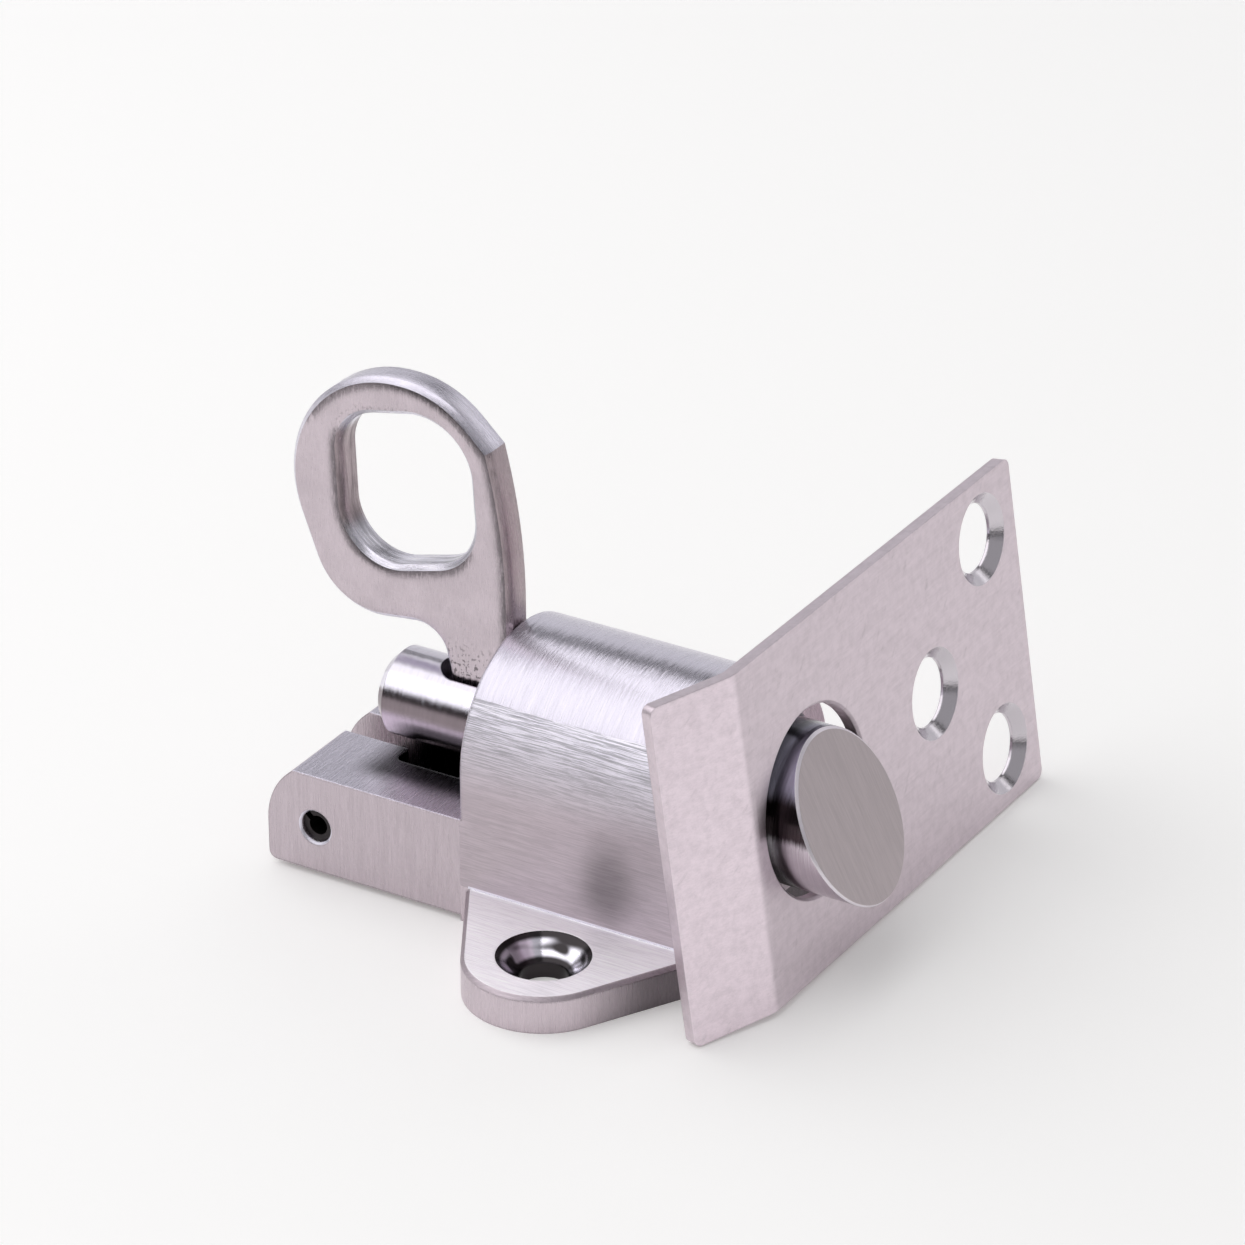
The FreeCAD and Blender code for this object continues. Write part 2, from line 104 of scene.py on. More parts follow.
class Nodes:
    """Short ways to add and join the nodes of one material or group."""

    def __init__(self, tree):
        self.tree = tree

    def add(self, kind, **values):
        node = self.tree.nodes.new(kind)
        for name, value in values.items():
            setattr(node, name, value)
        return node

    def feed(self, socket, value):
        if isinstance(value, bpy.types.NodeSocket):
            self.tree.links.new(value, socket)
        elif value is not None:
            socket.default_value = value

    def math(self, operation, first, second=None, third=None):
        node = self.add("ShaderNodeMath", operation=operation)
        for i, value in enumerate((first, second, third)):
            self.feed(node.inputs[i], value)
        return node.outputs[0]

    def vector(self, operation, first, second=None, scale=None):
        node = self.add("ShaderNodeVectorMath", operation=operation)
        for i, value in enumerate((first, second, None, scale)):
            self.feed(node.inputs[i], value)
        return node.outputs[1 if operation in ("DOT_PRODUCT", "LENGTH") else 0]

    def split(self, vector):
        node = self.add("ShaderNodeSeparateXYZ")
        self.feed(node.inputs[0], vector)
        return node.outputs

    def join(self, x, y, z):
        node = self.add("ShaderNodeCombineXYZ")
        for i, value in enumerate((x, y, z)):
            self.feed(node.inputs[i], value)
        return node.outputs[0]

    def above(self, value, limit):
        return self.math("GREATER_THAN", value, limit)

    def below(self, value, limit):
        return self.math("LESS_THAN", value, limit)

    def all_of(self, first, *others):
        """The mask of what lies in every one of these masks."""
        for mask in others:
            first = self.math("MULTIPLY", first, mask)
        return first

    def any_of(self, first, *others):
        """The mask of what lies in at least one of these masks."""
        for mask in others:
            first = self.math("MAXIMUM", first, mask)
        return first

    def outside(self, mask):
        return self.math("SUBTRACT", 1.0, mask)

    def ramp(self, value, low, high, out_low=0.0, out_high=1.0):
        """A soft step between two values."""
        node = self.add("ShaderNodeMapRange", interpolation_type="SMOOTHSTEP")
        for i, number in enumerate((value, low, high, out_low, out_high)):
            self.feed(node.inputs[i], number)
        return node.outputs[0]

    def band(self, value, start, full, fade, end):
        """A mask that rises from start to full and falls from fade to end."""
        return self.all_of(self.ramp(value, start, full), self.ramp(value, end, fade))

    def blend(self, share, first, second, kind="RGBA"):
        """The first value where share is 0, the second where it is 1."""
        node = self.add("ShaderNodeMix", data_type=kind)
        at = {"FLOAT": 2, "VECTOR": 4, "RGBA": 6}[kind]
        self.feed(node.inputs[0], share)
        for i, value in enumerate((first, second)):
            if kind == "RGBA" and isinstance(value, tuple) and len(value) == 3:
                value = (*value, 1.0)
            self.feed(node.inputs[at + i], value)
        return node.outputs[{"FLOAT": 0, "VECTOR": 1, "RGBA": 2}[kind]]

    def lowered(self, shade, marks, amount):
        """The shade less this amount where the marks are full."""
        return self.math("SUBTRACT", shade, self.math("MULTIPLY", marks, amount))

    def darkened(self, shade, mask, share):
        """The shade with this share of it gone where the mask is full."""
        return self.math("MULTIPLY", shade, self.lowered(1.0, mask, share))

    def noise(self, position, scale, detail=2.0, roughness=0.55):
        """Noise from 0 to 1. The scale may be one number, or three for stretched noise."""
        if isinstance(scale, tuple):
            position = self.vector("MULTIPLY", position, scale)
            scale = 1.0
        node = self.add("ShaderNodeTexNoise")
        self.feed(node.inputs["Vector"], position)
        self.feed(node.inputs["Scale"], scale)
        node.inputs["Detail"].default_value = detail
        node.inputs["Roughness"].default_value = roughness
        return node.outputs["Fac"]

    def group(self, tree, **values):
        node = self.add("ShaderNodeGroup", node_tree=tree)
        for name, value in values.items():
            self.feed(node.inputs[name], value)
        return node.outputs


def new_group(name, inputs, outputs):
    """An empty node group with named inputs (name, kind, default) and outputs."""
    tree = bpy.data.node_groups.new(name, "ShaderNodeTree")
    for title, kind, default in inputs:
        socket = tree.interface.new_socket(title, in_out="INPUT", socket_type="NodeSocket" + kind)
        socket.default_value = default
    for title in outputs:
        tree.interface.new_socket(title, in_out="OUTPUT", socket_type="NodeSocketFloat")
    nodes = Nodes(tree)
    return nodes, nodes.add("NodeGroupInput").outputs, nodes.add("NodeGroupOutput").inputs


def brush_marks_group():
    """Long fine scratches that follow the stretched position given to it."""
    n, given, made = new_group(
        "brush_marks",
        [("Stretched", "Vector", (0, 0, 0)), ("Fine", "Float", 1.0), ("Coarse", "Float", 0.35)],
        ["Lines", "Coarse Lines", "Height"],
    )
    fine = n.noise(given["Stretched"], given["Fine"], 3.0, 0.7)
    coarse = n.noise(given["Stretched"], given["Coarse"], 3.0, 0.6)
    n.feed(made["Lines"], n.ramp(fine, 0.3, 0.7))
    n.feed(made["Coarse Lines"], n.ramp(coarse, 0.32, 0.68))
    n.feed(made["Height"], n.math("ADD", n.math("MULTIPLY", fine, 0.6), n.math("MULTIPLY", coarse, 0.4)))
    return n.tree


BRUSH_MARKS = brush_marks_group()


def new_material(name):
    """A material with one Principled shader; gives its nodes, shader, position and normal."""
    material = bpy.data.materials.new(name)
    material.use_nodes = True
    material.node_tree.nodes.clear()
    n = Nodes(material.node_tree)
    shader = n.add("ShaderNodeBsdfPrincipled")
    out = n.add("ShaderNodeOutputMaterial")
    n.feed(out.inputs[0], shader.outputs[0])
    coords = n.add("ShaderNodeTexCoord")
    shader.inputs["Metallic"].default_value = 1.0
    return material, n, shader, coords.outputs["Object"], coords.outputs["Normal"]


def rounded_normal(n, radius):
    """The surface direction with its edges softened over this many millimetres."""
    rounded = n.add("ShaderNodeBevel", samples=4)
    rounded.inputs["Radius"].default_value = radius * MM
    return rounded.outputs[0]


def combed(n, normal, stretched, direction, amount):
    """The surface direction tilted a little, one scratch at a time, along the scratches."""
    tilt = n.math("MULTIPLY", n.math("SUBTRACT", n.noise(stretched, 1.0, 3.0, 0.7), 0.5), amount)
    return n.vector("NORMALIZE", n.vector("ADD", normal, n.vector("SCALE", direction, scale=tilt)))


def finish_steel(n, shader, colour, roughness, height, bump, normal, across=None, shine_stretch=0.6):
    """Joins colour, roughness, scratch height and surface direction to a shader."""
    n.feed(shader.inputs["Base Color"], colour)
    n.feed(shader.inputs["Roughness"], roughness)
    n.feed(shader.inputs["Anisotropic"], shine_stretch)
    n.feed(shader.inputs["Tangent"], across)
    relief = n.add("ShaderNodeBump")
    relief.inputs["Strength"].default_value = 1.0
    n.feed(relief.inputs["Distance"], bump * MM)
    n.feed(relief.inputs["Height"], height)
    n.feed(relief.inputs["Normal"], normal)
    n.feed(shader.inputs["Normal"], relief.outputs[0])


def turned(n, position, centre_z):
    """Position for marks that run round an axis along X: millimetres along it, and the angle."""
    x, y, z = n.split(position)
    angle = n.math("ARCTAN2", n.math("SUBTRACT", z, centre_z), y)
    return n.join(n.math("MULTIPLY", x, 1000.0), n.math("MULTIPLY", angle, 0.2), 0.0)


def ear_sink(n, x, side, nz):
    """Masks of an ear's conical sink and of its screw hole, which is painted in shade, and the sink's
    colour: a painted dark reflection with painted glints along its turned rings.
    """
    off_centre = n.math("SUBTRACT", side, EAR_HOLE_Y)
    from_hole = n.vector("LENGTH", n.join(x, off_centre, 0.0))
    sink = n.all_of(n.below(from_hole, SINK_RADIUS + MARGIN), n.below(nz, 0.9))
    hole_shade = n.below(from_hole, EAR_HOLE_RADIUS + MARGIN)
    # Painted reflection: the sink is painted dark, with bright painted glints along its turned rings.
    turn = n.math("ARCTAN2", off_centre, x)
    rings = n.math("MULTIPLY", from_hole, 700.0)
    chatter = n.noise(n.join(n.math("MULTIPLY", turn, 0.9), rings, 3.0), 1.0, 1.0)
    between = n.band(from_hole, 2.4 * MM, 2.7 * MM, 3.5 * MM, 3.8 * MM)
    gleam = n.all_of(n.ramp(chatter, 0.38, 0.50), between)
    return sink, hole_shade, n.blend(gleam, STEEL_DARK, STEEL_BRIGHT)


def body_steel():
    """Steel brushed across the arch, along the sides and up the cheeks, with painted light and shade:
    lighter tops, a bright band below the belt line, bright edges and rims, a dark reflection patch, a
    shadow round the pocket, dark holes and sinks; the ears' rims darken towards the front.
    """
    material, n, shader, position, normal = new_material("body_steel")
    x, y, z = n.split(position)
    nx, ny, nz = n.split(normal)
    side = n.math("ABSOLUTE", y)

    wander = n.math("MULTIPLY", n.noise(position, (60, 400, 1500)), BELT_LINE_WANDER)
    on_arch = n.above(z, n.math("ADD", BELT_LINE_Z - BELT_LINE_WANDER / 2, wander))
    behind = n.below(x, -HOUSING_END + MARGIN)
    flat_up = n.above(nz, 0.8)
    low = n.below(z, EAR_TOP + 0.1 * MM)
    ear_rim = n.all_of(low, n.below(nz, 0.6))
    ear_top = n.all_of(low, flat_up)
    cheek = n.all_of(behind, n.outside(flat_up))
    tail_top = n.all_of(behind, flat_up)
    upright = n.any_of(cheek, ear_rim, n.above(nx, 0.95))
    sides = n.outside(n.any_of(on_arch, upright, tail_top))
    # Real long brush streaks run deeper in this band, which is also painted lighter towards the belt line
    # as a painted highlight.
    streaked_lit_band = n.all_of(sides, n.ramp(z, 12.0 * MM, BELT_LINE_Z))

    wave = n.math("MULTIPLY", n.noise(position, (260, 300, 300)), 0.22)
    waved = n.vector("ADD", n.vector("SCALE", position, scale=1000.0), n.join(0.0, wave, wave))
    along_x = n.vector("MULTIPLY", waved, (0.22, 5.5, 5.5))
    along_y = n.vector("MULTIPLY", waved, (5.0, 0.2, 5.0))
    along_z = n.vector("MULTIPLY", waved, (5.0, 5.0, 0.2))
    round_arch = n.vector("MULTIPLY", turned(n, position, ARCH_Z), (5.0, 8.0, 1.0))
    around = n.vector("CROSS_PRODUCT", normal, X_AXIS)
    stretched = along_x
    direction = X_AXIS
    for zone, marks_at, runs in [
        (on_arch, round_arch, around),
        (upright, along_z, Z_AXIS),
        (tail_top, along_y, Y_AXIS),
    ]:
        stretched = n.blend(zone, stretched, marks_at, "VECTOR")
        direction = n.blend(zone, direction, runs, "VECTOR")
    marks = n.group(BRUSH_MARKS, Stretched=stretched, Fine=2.0, Coarse=0.6)

    threads = n.ramp(n.noise(along_x, (1.0, 1.6, 1.6), 4.0, 0.75), 0.42, 0.58)
    depth = n.math("MULTIPLY_ADD", streaked_lit_band, 0.42, n.math("MULTIPLY", sides, 0.12))
    shade = n.lowered(1.10, threads, depth)
    shade = n.lowered(shade, marks["Coarse Lines"], 0.06)
    shade = n.lowered(shade, marks["Lines"], 0.08)
    shade = n.lowered(shade, cheek, 0.12)
    # Painted reflection: a soft dark patch on the housing's sides.
    from_patch = n.vector("SUBTRACT", n.join(x, 0.0, z), DARK_REFLECTION_CENTRE)
    from_patch = n.vector("LENGTH", n.vector("MULTIPLY", from_patch, (1.0, 1.0, 0.55)))
    dark_reflection_patch = n.all_of(sides, n.ramp(from_patch, DARK_REFLECTION_RADIUS, 0.6 * MM))
    shade = n.darkened(shade, dark_reflection_patch, 0.3)
    # The ears' rims are darker towards their front ends.
    ear_rims_darker_forward = n.all_of(ear_rim, n.ramp(x, 5.0 * MM, 9.5 * MM))
    shade = n.darkened(shade, ear_rims_darker_forward, 0.72)
    # Painted shadow: a soft dark fall-off on the tail block's top round the pocket.
    pocket_shadow = n.all_of(
        tail_top,
        n.ramp(x, POCKET_REAR - 3.2 * MM, POCKET_REAR + 0.2 * MM),
        n.ramp(side, POCKET_SIDE + 4.4 * MM, POCKET_SIDE + 1.8 * MM),
    )
    shade = n.darkened(shade, pocket_shadow, 0.88)

    # Painted highlight: a thin bright line along the ears' top edges.
    ear_edge_highlight = n.all_of(
        n.above(z, EAR_TOP - MARGIN),
        n.below(z, EAR_TOP + 0.25 * MM),
        n.below(n.math("ABSOLUTE", x), EAR_SIDE),
        n.below(nz, 0.5),
    )
    # Painted shade: the pocket beside the rod is painted near black.
    pocket_shade = n.all_of(
        behind,
        n.ramp(x, POCKET_REAR - 2.5 * MM, POCKET_REAR - 0.6 * MM),
        n.below(side, POCKET_SIDE + MARGIN),
        n.below(z, TAIL_TOP - MARGIN),
    )
    # Painted highlight: a thin bright ring on the rim of the roll pin's bore.
    bore_rim_highlight = n.all_of(
        behind,
        n.band(n.math("ABSOLUTE", ny), 0.5, 0.55, 0.85, 0.9),
        n.above(side, HOUSING_SIDE - 0.3 * MM),
    )
    sink, hole_shade, sink_reflection_colour = ear_sink(n, x, side, nz)

    # Painted light: the arch, the tail block's top and the ears' tops are painted lighter and cooler than
    # the sides.
    tint = n.blend(on_arch, STEEL, STEEL_COOL)
    # Painted highlight: the sides lighter below the belt line.
    tint = n.blend(streaked_lit_band, tint, STEEL_BRIGHT)
    tint = n.blend(tail_top, tint, STEEL_TAIL_TOP_LIT)
    tint = n.blend(ear_top, tint, STEEL_EAR_TOP_LIT)
    colour = n.vector("SCALE", tint, scale=shade)
    colour = n.blend(ear_edge_highlight, colour, STEEL_BRIGHT)
    # Painted reflection: the ear sinks' dark colour with bright glints.
    colour = n.blend(sink, colour, sink_reflection_colour)
    # Painted shade: the ears' screw holes and the pocket painted near black.
    colour = n.blend(n.any_of(hole_shade, pocket_shade), colour, STEEL_DARK)
    colour = n.blend(bore_rim_highlight, colour, STEEL_BRIGHT)
    roughness = n.math("MULTIPLY_ADD", marks["Lines"], 0.10, n.math("MULTIPLY_ADD", sides, 0.16, 0.22))
    roughness = n.blend(sink, roughness, 0.12, "FLOAT")
    roughness = n.blend(bore_rim_highlight, roughness, 0.5, "FLOAT")
    height = n.darkened(n.darkened(marks["Height"], sink, 0.85), cheek, 0.45)
    along_arch = n.vector("SCALE", direction, scale=on_arch)
    scratched = combed(n, rounded_normal(n, 0.3), stretched, along_arch, 0.22)
    across = n.vector("CROSS_PRODUCT", normal, direction)
    finish_steel(n, shader, colour, roughness, height, 0.05, scratched, across, 0.8)
    return material


def ring_steel():
    """Steel with rolled edges: ragged lines of painted shade on the face where it rolls up into its edges,
    and worn streaks in the finger hole; its forward sides are painted darker as painted shade.
    """
    material, n, shader, position, normal = new_material("ring_steel")
    nx, ny, nz = n.split(normal)
    on_face = n.above(n.math("ABSOLUTE", ny), 0.9)

    up_the_face = n.vector("MULTIPLY", position, (6000, 6000, 400))
    along_rim = n.vector("MULTIPLY", position, (260, 3200, 260))
    stretched = n.blend(on_face, along_rim, up_the_face, "VECTOR")
    marks = n.group(BRUSH_MARKS, Stretched=stretched, Fine=2.0, Coarse=0.6)

    to_hole = n.vector("SUBTRACT", FINGER_HOLE, n.vector("MULTIPLY", position, (1, 0, 1)))
    in_hole = n.all_of(
        n.outside(on_face),
        n.below(n.vector("LENGTH", to_hole), FINGER_HOLE_REACH),
        n.above(n.vector("DOT_PRODUCT", to_hole, normal), 1.0 * MM),
    )
    # Painted shade: a ragged dark line on the face where it rolls upward into its edges, broken by
    # scratch-like noise.
    hatch_at = n.vector("MULTIPLY", position, (4200, 4200, 900))
    hatch = n.ramp(n.noise(hatch_at, 1.0, 3.0, 0.7), 0.35, 0.62, 0.25, 1.8)
    turning = n.vector("SUBTRACT", rounded_normal(n, 1.6), normal)
    rising = n.math("MULTIPLY", n.vector("DOT_PRODUCT", turning, (0.45, 0.0, 0.9)), hatch)
    edge_shade_line = n.all_of(on_face, n.ramp(rising, 0.006, 0.06))
    at_front = n.ramp(n.split(turning)[0], 0.02, 0.08)
    at_foot = n.ramp(n.split(position)[2], RING_FOOT_Z + 3.0 * MM, RING_FOOT_Z)
    pits = n.ramp(n.noise(position, 2600.0, 2.0, 0.5), 0.56, 0.62)
    pitted = n.all_of(pits, on_face, n.any_of(at_front, at_foot))

    cloud = n.ramp(n.noise(position, 330.0, 3.0, 0.6), 0.3, 0.7)
    shade = n.lowered(1.12, cloud, 0.10)
    shade = n.lowered(shade, marks["Lines"], 0.08)
    shade = n.lowered(shade, n.all_of(marks["Coarse Lines"], in_hole), 0.55)
    shade = n.lowered(shade, on_face, 0.07)
    shade = n.darkened(shade, edge_shade_line, 0.93)
    shade = n.darkened(shade, pitted, 0.6)

    # Painted shade: the ring's sides that face forward are painted brown-dark.
    in_plane = n.math("SQRT", n.math("SUBTRACT", 1.04, n.math("POWER", ny, 2.0)))
    front_side_shade = n.ramp(n.math("DIVIDE", nx, in_plane), 0.75, 0.93)
    tint = n.blend(on_face, STEEL_COOL, STEEL)
    tint = n.blend(in_hole, tint, STEEL_BRIGHT)
    tint = n.blend(front_side_shade, tint, STEEL_BROWN_SHADE)
    colour = n.vector("SCALE", tint, scale=shade)
    roughness = n.math("MULTIPLY_ADD", marks["Lines"], 0.10, 0.22)
    rolled = n.vector("ADD", normal, n.vector("MULTIPLY", turning, (0.2, 0.65, 0.65)))
    rolled = combed(n, rolled, hatch_at, Z_AXIS, 0.3)
    across = n.vector("CROSS_PRODUCT", normal, n.blend(on_face, Y_AXIS, Z_AXIS, "VECTOR"))
    finish_steel(n, shader, colour, roughness, marks["Height"], 0.03, rolled, across)
    return material


def plate_steel():
    """Mottled sheet steel with long brush marks, slanted knocks and shiny sinks; its lip is painted lighter
    as painted light.
    """
    material, n, shader, position, normal = new_material("plate_steel")
    local = n.vector("SUBTRACT", position, PLATE_CENTRE)
    stretched = n.vector("MULTIPLY", local, (3000, 200, 3400))
    marks = n.group(BRUSH_MARKS, Stretched=stretched, Fine=2.2, Coarse=0.6)

    from_sink = []
    for centre in PLATE_SINKS:
        offset = n.vector("SUBTRACT", position, centre)
        from_sink.append(n.vector("LENGTH", n.vector("CROSS_PRODUCT", offset, PLATE_NORMAL)))
    nearest = n.math("MINIMUM", n.math("MINIMUM", from_sink[0], from_sink[1]), from_sink[2])
    facing = n.math("ABSOLUTE", n.vector("DOT_PRODUCT", normal, PLATE_NORMAL))
    sink = n.all_of(n.below(nearest, PLATE_SINK_RADIUS), n.below(facing, 0.97))
    # Painted light: the bent lip is painted lighter than the main face.
    lit_lip = n.ramp(n.vector("DOT_PRODUCT", normal, PLATE_LIP_NORMAL), 0.95, 0.99)

    mottle = n.noise(position, 1100.0, 5.0, 0.7)
    across_plate, up_plate = n.split(local)[1:]
    slanted = n.join(n.math("ADD", across_plate, up_plate), 0.0, n.math("SUBTRACT", across_plate, up_plate))
    knocks = n.ramp(n.noise(slanted, (260, 0, 1100), 3.0, 0.6), 0.58, 0.74)
    shade = n.lowered(1.20, n.ramp(mottle, 0.35, 0.7), 0.10)
    shade = n.lowered(shade, marks["Lines"], 0.07)
    shade = n.lowered(shade, marks["Coarse Lines"], 0.05)
    shade = n.lowered(shade, knocks, 0.12)
    # Painted light on the lip.
    shade = n.math("MULTIPLY", shade, n.math("MULTIPLY_ADD", lit_lip, 0.32, 1.0))

    colour = n.blend(sink, n.vector("SCALE", STEEL, scale=shade), STEEL_SHINY)
    roughness = n.blend(sink, n.math("MULTIPLY_ADD", mottle, 0.14, 0.27), 0.16, "FLOAT")
    height = n.math("MULTIPLY_ADD", mottle, 0.6, n.math("MULTIPLY", marks["Height"], 0.6))
    across = n.vector("CROSS_PRODUCT", normal, Y_AXIS)
    finish_steel(n, shader, colour, roughness, height, 0.03, rounded_normal(n, 0.15), across, 0.4)
    return material


def bolt_steel():
    """Turned steel: painted reflection bands along the rod and nose, painted shade close to the strike
    plate, and a brushed slanted end face with a painted highlight on its rim.
    """
    material, n, shader, position, normal = new_material("bolt_steel")
    x, y, z = n.split(position)
    nx = n.split(normal)[0]
    rod = n.below(x, 0.0)
    rod_end = n.below(nx, -0.9)
    end_face = n.all_of(n.above(nx, 0.88), n.above(x, HOUSING_END))
    # Painted highlight: the chamfered rim round the nose's end face is painted bright.
    rim = n.all_of(n.band(nx, 0.40, 0.45, 0.86, 0.89), n.above(x, HOUSING_END))

    turned_position = turned(n, position, AXIS_Z)
    turned_marks = n.vector("MULTIPLY", turned_position, (3.2, 1.0, 1.0))
    face_marks = n.vector("MULTIPLY", position, (300, 3600, 120))
    stretched = n.blend(end_face, turned_marks, face_marks, "VECTOR")
    marks = n.group(BRUSH_MARKS, Stretched=stretched, Fine=2.4, Coarse=0.7)

    angle = n.math("ARCTAN2", n.math("SUBTRACT", z, AXIS_Z), n.math("ABSOLUTE", y))
    fuzz = n.math("SUBTRACT", n.noise(position, (4500, 400, 400), 2.0, 0.7), 0.5)
    fuzz = n.math("MULTIPLY", fuzz, n.math("MULTIPLY_ADD", rod, 0.14, 0.14))
    fuzzy_angle = n.math("ADD", angle, fuzz)
    # Painted reflections: the rod is banded, from the top, bluish grey, bright, brown-dark, then plain
    # steel.
    rod_reflection_bands = n.blend(n.ramp(angle, 0.82, 0.92), STEEL_BRIGHT, STEEL_ROD_TOP_REFLECTION)
    rod_reflection_bands = n.blend(n.ramp(fuzzy_angle, 0.50, 0.36), rod_reflection_bands, STEEL_ROD_DARK_REFLECTION)
    rod_reflection_bands = n.blend(n.ramp(angle, 0.10, -0.25), rod_reflection_bands, STEEL)
    rod_reflection_bands = n.blend(rod_end, rod_reflection_bands, STEEL)
    # Painted reflections: the nose is bluish above, with a near-black band at the middle and lighter steel
    # below.
    nose_reflection_bands = n.blend(n.ramp(fuzzy_angle, 0.46, 0.66), STEEL_NOSE_DARK_REFLECTION, STEEL_NOSE_BLUE_REFLECTION)
    nose_reflection_bands = n.blend(n.ramp(fuzzy_angle, 0.10, -0.02), nose_reflection_bands, STEEL_SHINY)
    tint = n.blend(end_face, nose_reflection_bands, STEEL_WARM)
    tint = n.blend(rod, tint, rod_reflection_bands)

    shade = n.lowered(1.06, marks["Coarse Lines"], 0.06)
    shade = n.lowered(shade, marks["Lines"], 0.10)
    # Painted shade: the nose darkens where it goes into the strike plate's hole.
    from_plate = n.vector("DOT_PRODUCT", n.vector("SUBTRACT", position, PLATE_CENTRE), PLATE_NORMAL)
    plate_shade = n.ramp(from_plate, 1.3 * MM, -0.4 * MM)
    shade = n.darkened(shade, n.all_of(plate_shade, n.outside(rod), n.outside(end_face)), 0.9)

    colour = n.blend(rim, n.vector("SCALE", tint, scale=shade), STEEL_RIM_HIGHLIGHT)
    roughness = n.blend(end_face, 0.16, 0.34, "FLOAT")
    roughness = n.blend(rim, roughness, 0.5, "FLOAT")
    roughness = n.blend(rod, roughness, 0.27, "FLOAT")
    around = n.vector("CROSS_PRODUCT", normal, X_AXIS)
    direction = n.blend(end_face, around, NOSE_FACE_UP, "VECTOR")
    direction = n.blend(rod_end, direction, Z_AXIS, "VECTOR")
    across = n.vector("CROSS_PRODUCT", normal, direction)
    lathe = n.vector("MULTIPLY", turned_position, (6.0, 1.5, 1.0))
    round_rod = n.vector("SCALE", around, scale=rod)
    scratched = combed(n, rounded_normal(n, 0.15), lathe, round_rod, 0.12)
    finish_steel(n, shader, colour, roughness, marks["Height"], 0.03, scratched, across)
    return material


def plain_steel(name, tint, roughness):
    """Unpolished steel of the small parts, with fine grain."""
    material, n, shader, position, normal = new_material(name)
    grain = n.noise(position, 2500.0, 3.0, 0.6)
    colour = n.vector("SCALE", tint, scale=n.math("MULTIPLY_ADD", grain, 0.5, 0.75))
    rough = n.math("MULTIPLY_ADD", grain, 0.15, roughness)
    finish_steel(n, shader, colour, rough, grain, 0.01, rounded_normal(n, 0.08), shine_stretch=0.0)
    return material


def dress(node, material):
    """Gives a CAD node its finish."""
    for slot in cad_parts[node].material_slots:
        slot.material = material


def coil_spring(material):
    """The spring round the rod, between the rear wall and the bolt's shoulder."""
    sides = 10
    steps = 32 * SPRING_TURNS
    along = Vector((SPRING_LENGTH, 0, 0))
    angles = [2 * math.pi * i / sides for i in range(sides)]
    built = bmesh.new()
    rings = []
    for step in range(steps + 1):
        share = step / steps
        turn = 2 * math.pi * SPRING_TURNS * share
        out = Vector((0, math.cos(turn), math.sin(turn)))
        centre = SPRING_START + along * share + out * SPRING_RADIUS
        rim = [math.cos(angle) * out + math.sin(angle) * Vector(X_AXIS) for angle in angles]
        rings.append([built.verts.new(centre + WIRE_RADIUS * way) for way in rim])
    for first, second in zip(rings, rings[1:]):
        for i in range(sides):
            built.faces.new((first[i - 1], first[i], second[i], second[i - 1]))
    built.faces.new(rings[0])
    built.faces.new(rings[-1])
    bmesh.ops.recalc_face_normals(built, faces=built.faces)
    mesh = bpy.data.meshes.new("coil_spring")
    built.to_mesh(mesh)
    built.free()
    mesh.shade_smooth()
    mesh.materials.append(material)
    spring = bpy.data.objects.new("coil_spring", mesh)
    bpy.context.scene.collection.objects.link(spring)
    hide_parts("return_spring")
    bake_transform(spring)


def pale_floor():
    """The table under the object, wide enough to fill the picture."""
    bpy.ops.object.select_all(action="DESELECT")
    bpy.ops.mesh.primitive_circle_add(vertices=96, radius=3.0, fill_type="NGON", location=(0, 0, 0))
    floor = bpy.context.object
    floor.name = "pale_floor"
    material = bpy.data.materials.new("pale_table")
    material.use_nodes = True
    shader = material.node_tree.nodes["Principled BSDF"]
    shader.inputs["Base Color"].default_value = (0.95, 0.945, 0.93, 1)
    shader.inputs["Roughness"].default_value = 0.7
    n = Nodes(material.node_tree)
    rays = n.add("ShaderNodeLightPath").outputs
    seen = n.any_of(rays["Is Camera Ray"], rays["Is Glossy Ray"], rays["Is Transmission Ray"])
    shader.inputs["Emission Color"].default_value = (1.0, 1.0, 0.97, 1)
    n.feed(shader.inputs["Emission Strength"], n.math("MULTIPLY", seen, 0.15))
    floor.data.materials.append(material)


def softbox(name, towards, distance, width, depth, strength, tint=(1, 1, 1)):
    """A soft lamp in a direction seen from the object, turned to it."""
    towards = Vector(towards).normalized()
    lamp = bpy.data.lights.new(name, "AREA")
    lamp.shape = "RECTANGLE"
    lamp.size = width
    lamp.size_y = depth
    lamp.energy = strength * math.pi * width * depth
    lamp.color = tint
    holder = bpy.data.objects.new(name, lamp)
    holder.location = Vector((0, 0, 0.015)) + towards * distance
    holder.rotation_mode = "QUATERNION"
    holder.rotation_quaternion = towards.to_track_quat("Z", "Y")
    bpy.context.scene.collection.objects.link(holder)


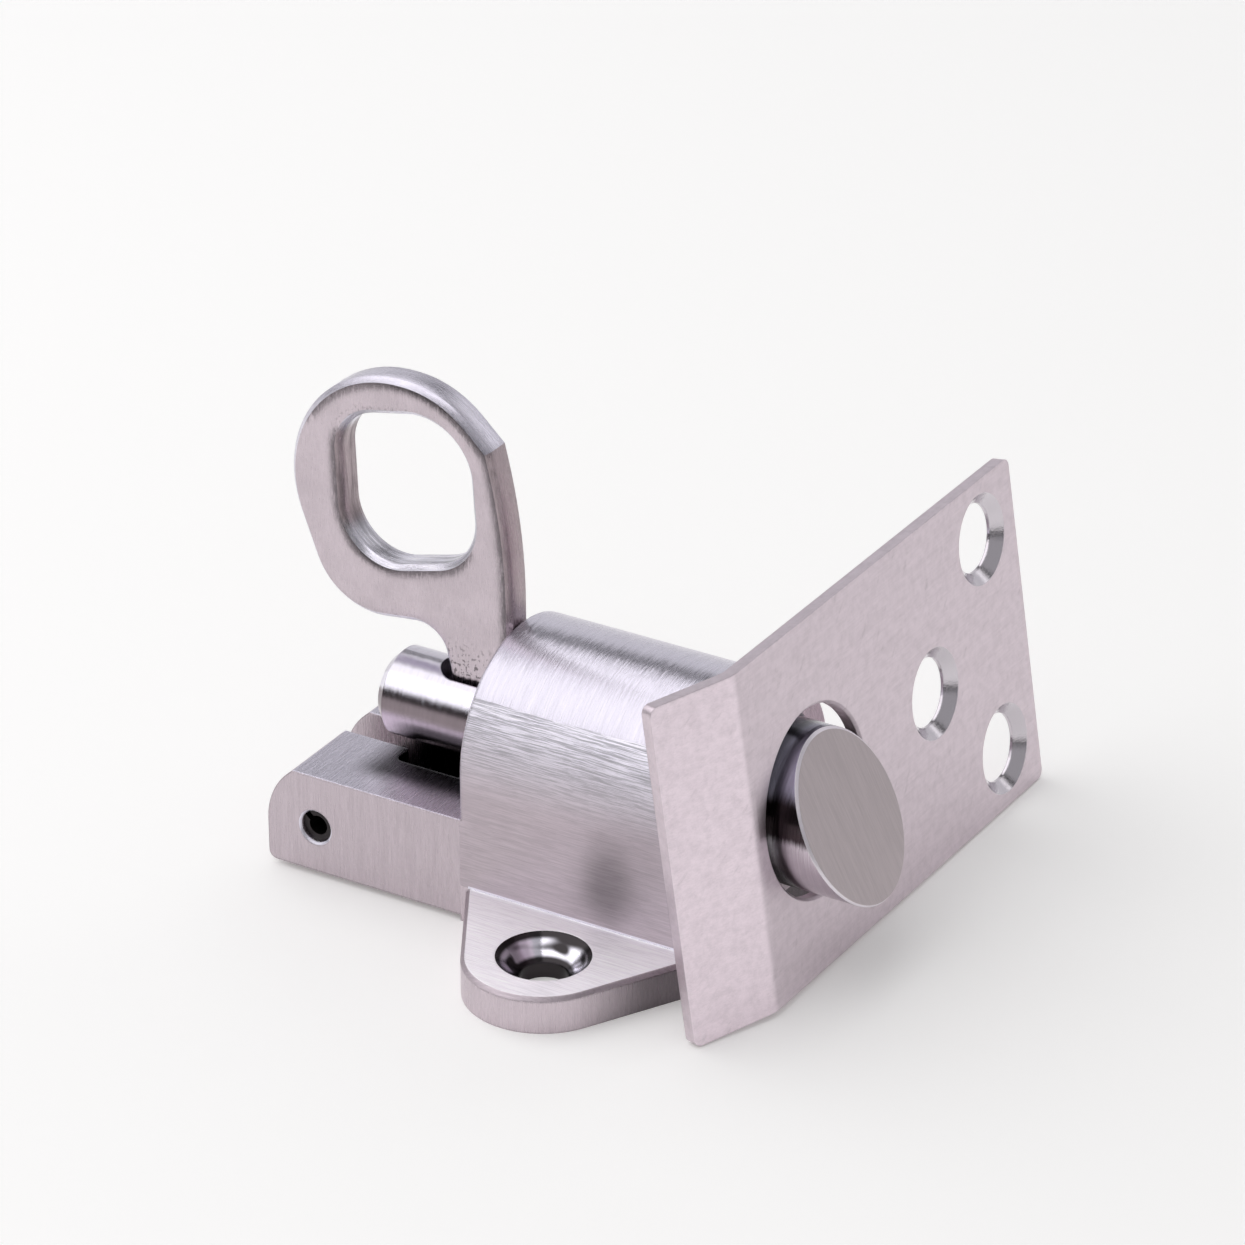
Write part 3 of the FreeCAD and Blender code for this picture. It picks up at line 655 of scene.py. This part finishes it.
def room():
    """The room's soft light: darker in front, brighter behind and above, with one dark beam behind."""
    world = bpy.data.worlds.new("studio")
    bpy.context.scene.world = world
    world.use_nodes = True
    n = Nodes(world.node_tree)
    coords = n.add("ShaderNodeTexCoord")
    x, y, z = n.split(coords.outputs["Generated"])
    height = n.math("DIVIDE", z, n.vector("LENGTH", n.join(0.0, y, z)))
    front = n.ramp(height, 0.32, 0.52, 0.08, 0.42)
    rear = n.ramp(x, -0.30, 0.40, 0.76, 0.68)
    rear = n.blend(n.ramp(height, 0.57, 0.64), rear, 0.08, "FLOAT")
    rear = n.blend(n.ramp(height, 0.77, 0.82), rear, 0.42, "FLOAT")
    level = n.blend(n.ramp(y, -0.10, 0.25), front, rear, "FLOAT")
    background = world.node_tree.nodes["Background"]
    n.feed(background.inputs["Color"], n.vector("SCALE", (0.97, 0.97, 1.0), scale=level))


def photo_camera():
    """The camera at the picture's viewing angle."""
    azimuth, elevation, roll = (math.radians(a) for a in (58.8917, 27.6812, -0.2807))
    distance = 0.51006
    target = Vector((-0.0020713, 0, 0.0269022))
    focal_per_width = 6056.73 / 1245
    back = Vector((math.cos(azimuth) * math.cos(elevation), -math.sin(azimuth) * math.cos(elevation),
                   math.sin(elevation)))
    right = Vector(Z_AXIS).cross(back).normalized()
    up = back.cross(right)
    turned_right = math.cos(roll) * right + math.sin(roll) * up
    turned_up = math.cos(roll) * up - math.sin(roll) * right
    camera = bpy.data.cameras.new("photo_camera")
    camera.sensor_width = 36
    camera.lens = camera.sensor_width * focal_per_width
    camera.clip_start = 0.01
    camera.clip_end = 20
    holder = bpy.data.objects.new("photo_camera", camera)
    turn = Matrix((turned_right, turned_up, back)).transposed().to_4x4()
    holder.matrix_world = Matrix.Translation(target + back * distance) @ turn
    bpy.context.scene.collection.objects.link(holder)
    bpy.context.scene.camera = holder


spring_steel = plain_steel("spring_steel", STEEL_SPRING, 0.28)
pin_steel = plain_steel("pin_steel", STEEL_PIN, 0.25)
for node, material in {
    "body": body_steel(),
    "pull_ring": ring_steel(),
    "strike_plate": plate_steel(),
    "bolt": bolt_steel(),
    "roll_pin": plain_steel("roll_pin_steel", STEEL_DARK, 0.35),
    "return_spring": spring_steel,
    "ring_pin": pin_steel,
    "guide_pin": pin_steel,
}.items():
    dress(node, material)
coil_spring(spring_steel)
pale_floor()
softbox("overhead_softbox", (-0.457, -0.2, 0.866), 0.6, 1.12, 0.95, 1.05, (1.0, 0.99, 1.0))
softbox("back_softbox", (0.25, 0.76, 0.6), 0.9, 0.5, 0.35, 0.6)
room()
photo_camera()
bpy.context.scene.view_settings.view_transform = "Standard"
